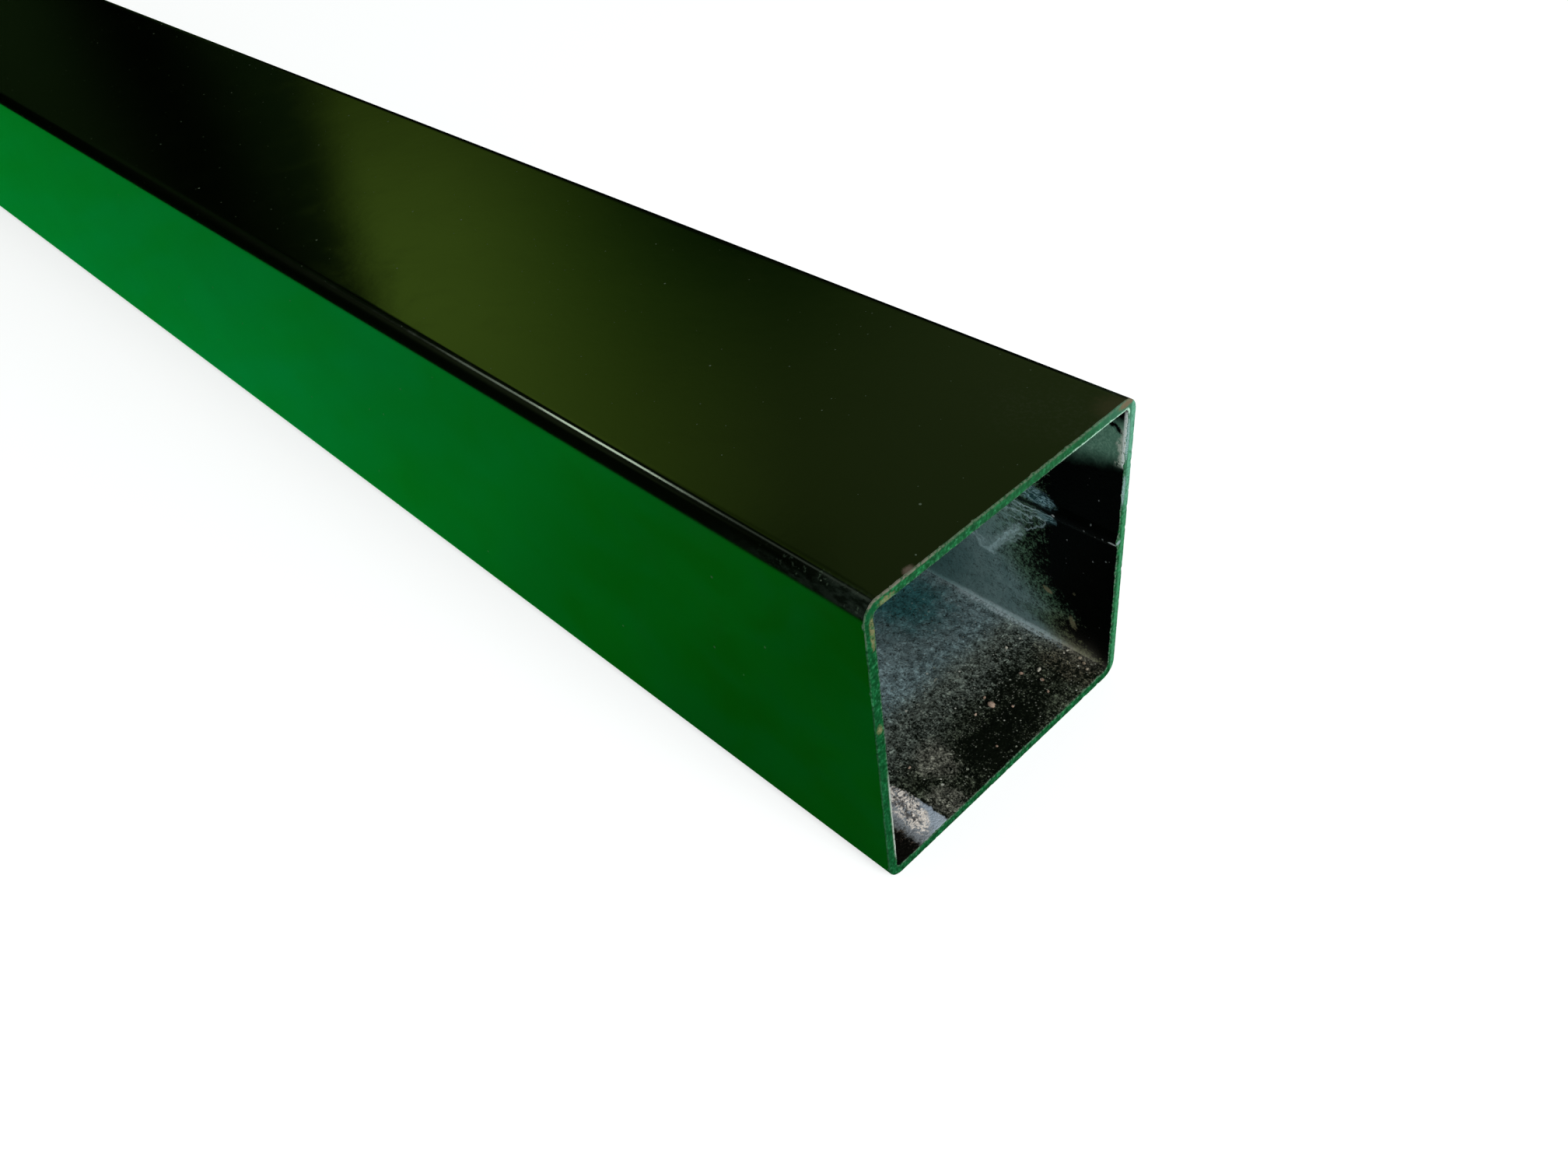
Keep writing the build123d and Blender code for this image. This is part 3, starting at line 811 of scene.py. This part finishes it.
    nrm = None
    if bottom_wall:
        nrm = t.bump(t.mul(t.step(end, 30.0, 8.0, 0.05, 0.8), t.noise(1.3, 4.0, 0.7)), 0.9, 0.40)
    nrm = t.bump(grain, 0.50, 0.12, nrm)
    nrm = t.bump(fine, 0.30, 0.05, nrm)
    return t.principled(Base_Color=colour, Metallic=metal, Roughness=rough, IOR=1.5, Specular_IOR_Level=0.07, Normal=nrm)


tube = bpy.data.objects.new("tube", build_tube())
bpy.context.scene.collection.objects.link(tube)
for m in (paint_material(), rim_material(), bore_material("bottom"), bore_material("weld_side"), bore_material("plain")):
    tube.data.materials.append(m)

bm = bmesh.new()
bm.from_mesh(tube.data)
bmesh.ops.recalc_face_normals(bm, faces=bm.faces)
if bm.calc_volume(signed=True) < 0:
    bmesh.ops.reverse_faces(bm, faces=bm.faces)
bm.to_mesh(tube.data)
bm.free()
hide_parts("square_tube")
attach(tube, "root")


# ---------------------------------------------------------------- loose grit lying in the bore
# from the near end, across, radius, mm
GRAINS = [(8.6, 6.7, 0.62), (10.3, 7.2, 0.28), (9.2, 14.5, 0.34), (7.6, 16.8, 0.42), (6.0, 15.4, 0.34), (3.9, 14.1, 0.27), (6.8, 22.7, 0.27),
          (6.9, 22.0, 0.21), (4.4, 22.6, 0.36), (3.3, 22.1, 0.32), (2.2, 21.4, 0.27), (6.1, 8.5, 0.24), (9.2, 3.8, 0.24), (14.3, 17.4, 0.26),
          (10.0, -9.9, 0.25), (3.1, 1.1, 0.20)]


def build_grit():
    bm = bmesh.new()
    for i, (gd, gy, gr) in enumerate(GRAINS):
        made = bmesh.ops.create_icosphere(bm, subdivisions=3, radius=1.0)["verts"]
        turn = Matrix.Rotation(i * 1.7, 3, "Z") @ Matrix.Rotation(0.5 * math.sin(i * 2.3), 3, "X")
        grow = Vector((1.0, 0.72 + 0.2 * math.sin(i * 3.1) ** 2, 0.62))
        for v in made:
            p = v.co.copy()
            p *= 1.0 + 0.30 * noise.noise(p * 1.1 + Vector((i * 5.0, 0, 0))) + 0.10 * noise.noise(p * 3.1 + Vector((0, i * 7.0, 0)))
            p = turn @ Vector([a * b for a, b in zip(p, grow)])
            v.co = (Vector((HALF - gd, gy, WALL + 0.03)) + gr * p + Vector((0, 0, gr * 0.38))) / 1000
    me = bpy.data.meshes.new("grit")
    bm.to_mesh(me)
    bm.free()
    me.polygons.foreach_set("use_smooth", [True] * len(me.polygons))
    me.update()
    return me


def grit_material():
    """Pinkish, tan and off-white grains."""
    t = material("grit_grains")
    _, x, y, _ = t.mm()
    which = t.node("ShaderNodeSeparateColor")
    t.put(which.inputs[0], t.cells(0.55, out="Color"))
    fine = t.noise(4.0, 3.0, 0.65)
    colour = t.mix(which.outputs[0], (0.200, 0.125, 0.085), (0.400, 0.290, 0.220))
    colour = t.mix(t.math("GREATER_THAN", which.outputs[1], 0.70), colour, (0.400, 0.380, 0.310))
    colour = t.mix(t.mul(t.step(fine, 0.52, 0.36), 0.6), colour, (0.090, 0.062, 0.045))
    # browner beside the +Y corner, next to the end
    colour = t.mix(t.mul(t.step(y, 20.0, 21.0), t.step(x, 494.0, 495.0, 0.0, 0.75)), colour, (0.190, 0.160, 0.110))
    nrm = t.bump(fine, 0.6, 0.08)
    return t.principled(Base_Color=colour, Roughness=0.80, IOR=1.5, Specular_IOR_Level=0.20, Normal=nrm)


grit = bpy.data.objects.new("grit", build_grit())
bpy.context.scene.collection.objects.link(grit)
grit.data.materials.append(grit_material())
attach(grit, "root")


# ---------------------------------------------------------------- floor, light and camera
def stage_plane(name, x0, x1, y0, y1, z):
    me = bpy.data.meshes.new(name)
    me.from_pydata([(x0, y0, z), (x1, y0, z), (x1, y1, z), (x0, y1, z)], [], [(0, 1, 2, 3)])
    ob = bpy.data.objects.new(name, me)
    bpy.context.scene.collection.objects.link(ob)
    return ob


floor = stage_plane("floor", -30, 30, -30, 30, 0.0)
t = material("pale_floor")
p, x, y, z = t.mm()
away = t.math("SQRT", t.add(t.mul(x, x), t.mul(y, y)))       # it fades into the pale background away from the tube
n = t.node("ShaderNodeBsdfDiffuse", {"Color": t.mix(t.step(away, 650.0, 1750.0), (0.55, 0.55, 0.55), (0.0, 0.0, 0.0))})
e = t.node("ShaderNodeEmission", {"Color": (1.0, 1.0, 1.0), "Strength": t.step(away, 650.0, 1750.0, 0.62, 0.96)})
a = t.node("ShaderNodeAddShader")
t.put(a.inputs[0], n.outputs[0])
t.put(a.inputs[1], e.outputs[0])
o = t.node("ShaderNodeOutputMaterial")
t.put(o.inputs["Surface"], a.outputs[0])
floor.data.materials.append(t.owner)
t.owner.cycles.emission_sampling = "NONE"
floor.visible_glossy = False

# a green card lying beside the tube, which only its gloss sees
card = stage_plane("card", -0.95, 0.95, -0.090, 0.090, 0.0004)
t = material("card")
p, x, y, z = t.mm()
ramp = t.node("ShaderNodeValToRGB")
ramp.color_ramp.interpolation = "EASE"
stops = [(-600, (0.001, 0.26, 0.022)), (80, (0.001, 0.32, 0.030)), (200, (0.001, 0.35, 0.046)), (310, (0.001, 0.405, 0.060)),
         (375, (0.001, 0.360, 0.034)), (425, (0.001, 0.205, 0.010)), (468, (0.001, 0.055, 0.001)), (560, (0.001, 0.030, 0.001))]
t.put(ramp.inputs[0], t.ramp(x, -700.0, 700.0))
while len(ramp.color_ramp.elements) < len(stops):
    ramp.color_ramp.elements.new(0.5)
for el_, (at, c) in zip(ramp.color_ramp.elements, stops):
    el_.position = (at + 700) / 1400
for el_, (at, c) in zip(ramp.color_ramp.elements, stops):
    el_.color = (*c, 1.0)
cloud = t.noise(0.030, 3.0, 0.6, vector=t.stretch(1.0, 1.8, 1.0), distortion=0.4)
shade = t.mix(t.ramp(cloud, 0.3, 0.7), (1.05, 0.965, 0.70), (0.95, 1.035, 1.30))
e = t.node("ShaderNodeEmission", {"Color": t.mix(1.0, ramp.outputs[0], shade, mode="MULTIPLY")})
o = t.node("ShaderNodeOutputMaterial")
t.put(o.inputs["Surface"], e.outputs[0])
card.data.materials.append(t.owner)
t.owner.cycles.emission_sampling = "NONE"
card.visible_camera = card.visible_diffuse = card.visible_shadow = card.visible_transmission = False

world = bpy.data.worlds.new("studio")
bpy.context.scene.world = world
world.cycles.sampling_method = "NONE"
w = Tree(world)
tc = w.node("ShaderNodeTexCoord")
nv = w.node("ShaderNodeVectorMath", operation="NORMALIZE")
w.put(nv.inputs[0], tc.outputs["Generated"])
sep = w.node("ShaderNodeSeparateXYZ")
w.put(sep.inputs[0], nv.outputs[0])
wx, wy, wz = sep.outputs
deg = 180 / math.pi
az = w.mul(w.math("ARCTAN2", wy, wx), deg)
el = w.mul(w.math("ARCSINE", wz), deg)

# what the gloss sees above the horizon: a dim olive room behind the tube, darkest low down and to the left
G = w.ramp(az, 139.9, 154.4, 0.202, 0.493)
side = w.step(az, 122.0, 100.0)
G = w.mul(G, w.blend(side, w.step(el, 12.3, 28.0), w.step(el, 0.0, 8.0)))
pocket = w.add(w.math("POWER", w.mul(w.sub(az, 140.5), 1 / 10.8), 2.0), w.math("POWER", w.mul(w.sub(el, 22.1), 1 / 8.6), 2.0))
pocket = w.math("EXPONENT", w.mul(pocket, -1.0))
G = w.mul(G, w.sub(1.0, w.mul(pocket, 0.95)))
G = w.mul(G, w.step(el, 80.0, 45.0, 0.5, 1.0))
G = w.mul(G, w.blend(w.step(az, 137.0, 142.0), 1.0, w.step(el, 43.0, 37.0, 0.40, 1.0)))
leafy = w.add(w.math("POWER", w.mul(w.sub(az, 141.0), 1 / 8.0), 2.0), w.math("POWER", w.mul(w.sub(el, 25.0), 1 / 6.0), 2.0))
leafy = w.math("EXPONENT", w.mul(leafy, -1.0))
G = w.mul(G, w.sub(1.06, w.mul(leafy, 0.20)))
inside = w.mul(w.step(w.sub(az, w.mul(w.sub(el, 17.0), 0.11)), 159.6, 156.9), w.step(az, -100.0, -80.0))
tint = w.mix(w.step(az, 150.0, 131.0), (0.56, 1.0, 0.11), (0.63, 1.0, 0.26))
tint = w.mix(w.mul(leafy, 0.9), tint, (0.30, 1.0, 0.07))
olive = w.mix(1.0, tint, G, mode="MULTIPLY")
# dim patches to the left of it, and one that only the corner sees
dim_left = w.add(w.mul(w.step(az, 163.8, 159.6), 0.020), w.mul(w.step(az, 164.2, 168.5), 0.020))
dim_left = w.mul(dim_left, w.step(az, 60.0, 70.0))
gap = w.mul(w.math("EXPONENT", w.mul(w.math("POWER", w.mul(w.sub(el, 35.0), 1 / 8.0), 2.0), -1.0)), w.step(az, -143.0, -150.0))
other = w.mix(1.0, (0.42, 1.0, 0.22), dim_left, mode="MULTIPLY")
other = w.mix(w.mul(gap, w.step(az, -174.0, -160.0, 0.4, 1.0)), other, (0.085, 0.120, 0.055))
sky = w.mix(inside, other, olive)
under = w.step(el, 0.0, -2.0)
sky = w.mix(under, sky, (0.002, 0.006, 0.002))
lp = w.node("ShaderNodeLightPath")
out = w.mix(lp.outputs["Is Glossy Ray"], (0.42, 0.43, 0.44), sky)
out = w.mix(lp.outputs["Is Camera Ray"], out, (0.96, 0.96, 0.96))
bg = w.node("ShaderNodeBackground", {"Color": out, "Strength": 1.0})
o = w.node("ShaderNodeOutputWorld")
w.put(o.inputs["Surface"], bg.outputs[0])


def soft_light(name, direction, away, size, radiance, colour=(1, 1, 1), aim=(0.45, 0.0, 0.03), glossy=True, diffuse=True, lift=0.0):
    """size is (across, upright), in metres; lift slides the light along its upright side."""
    light = bpy.data.lights.new(name, "AREA")
    light.shape = "RECTANGLE"
    light.size, light.size_y = size
    light.color = colour
    light.energy = radiance * math.pi * size[0] * size[1]
    ob = bpy.data.objects.new(name, light)
    v = Vector(direction).normalized()
    ob.location = Vector(aim) + v * away
    turn = v.to_track_quat("Z", "Y")
    ob.location += turn @ Vector((0.0, lift, 0.0))
    ob.rotation_euler = turn.to_euler()
    bpy.context.scene.collection.objects.link(ob)
    ob.visible_camera = False
    ob.visible_glossy = glossy
    ob.visible_diffuse = diffuse
    return ob


FAR = (-0.717, -0.056, 0.697)
soft_light("far_soft", FAR, 2.0, (0.50, 0.27), 8.0, (0.80, 1.0, 0.76), glossy=False)
# the thin line along the top corner: a bright middle and two fainter, longer tails
for name, away, length, lift, radiance in (("gleam_a", 1.94, 0.21, -0.005, 8.2), ("gleam_b", 2.06, 0.52, -0.05, 1.2), ("gleam_c", 2.12, 0.84, 0.21, 0.5)):
    soft_light(name, FAR, away, (0.30, length), radiance, (0.80, 1.0, 0.76), diffuse=False, lift=lift)
soft_light("near_soft", (0.85, -0.12, 0.48), 1.2, (0.60, 0.60), 11.0, (0.95, 0.985, 1.0))

cam = bpy.data.cameras.new("camera")
cam.sensor_width = 36.0
cam.sensor_fit = "HORIZONTAL"
cam.lens = 28.397
cam.clip_start = 0.005
cam.clip_end = 50.0
cam.dof.use_dof = False
camera = bpy.data.objects.new("camera", cam)
bpy.context.scene.collection.objects.link(camera)
right = Vector((0.69273578, 0.71160347, -0.11720770))
down = Vector((0.42236459, -0.53203860, -0.73385494))
fwd = Vector((-0.58457274, 0.45886319, -0.66911828))
M = Matrix.Identity(4)
for i, col in enumerate((right, -down, -fwd)):
    for j in range(3):
        M[j][i] = col[j]
M.translation = Vector((0.569676, -0.089707, 0.140119))
camera.matrix_world = M
bpy.context.scene.camera = camera

bpy.context.scene.view_settings.view_transform = "Standard"
bpy.context.scene.view_settings.look = "None"
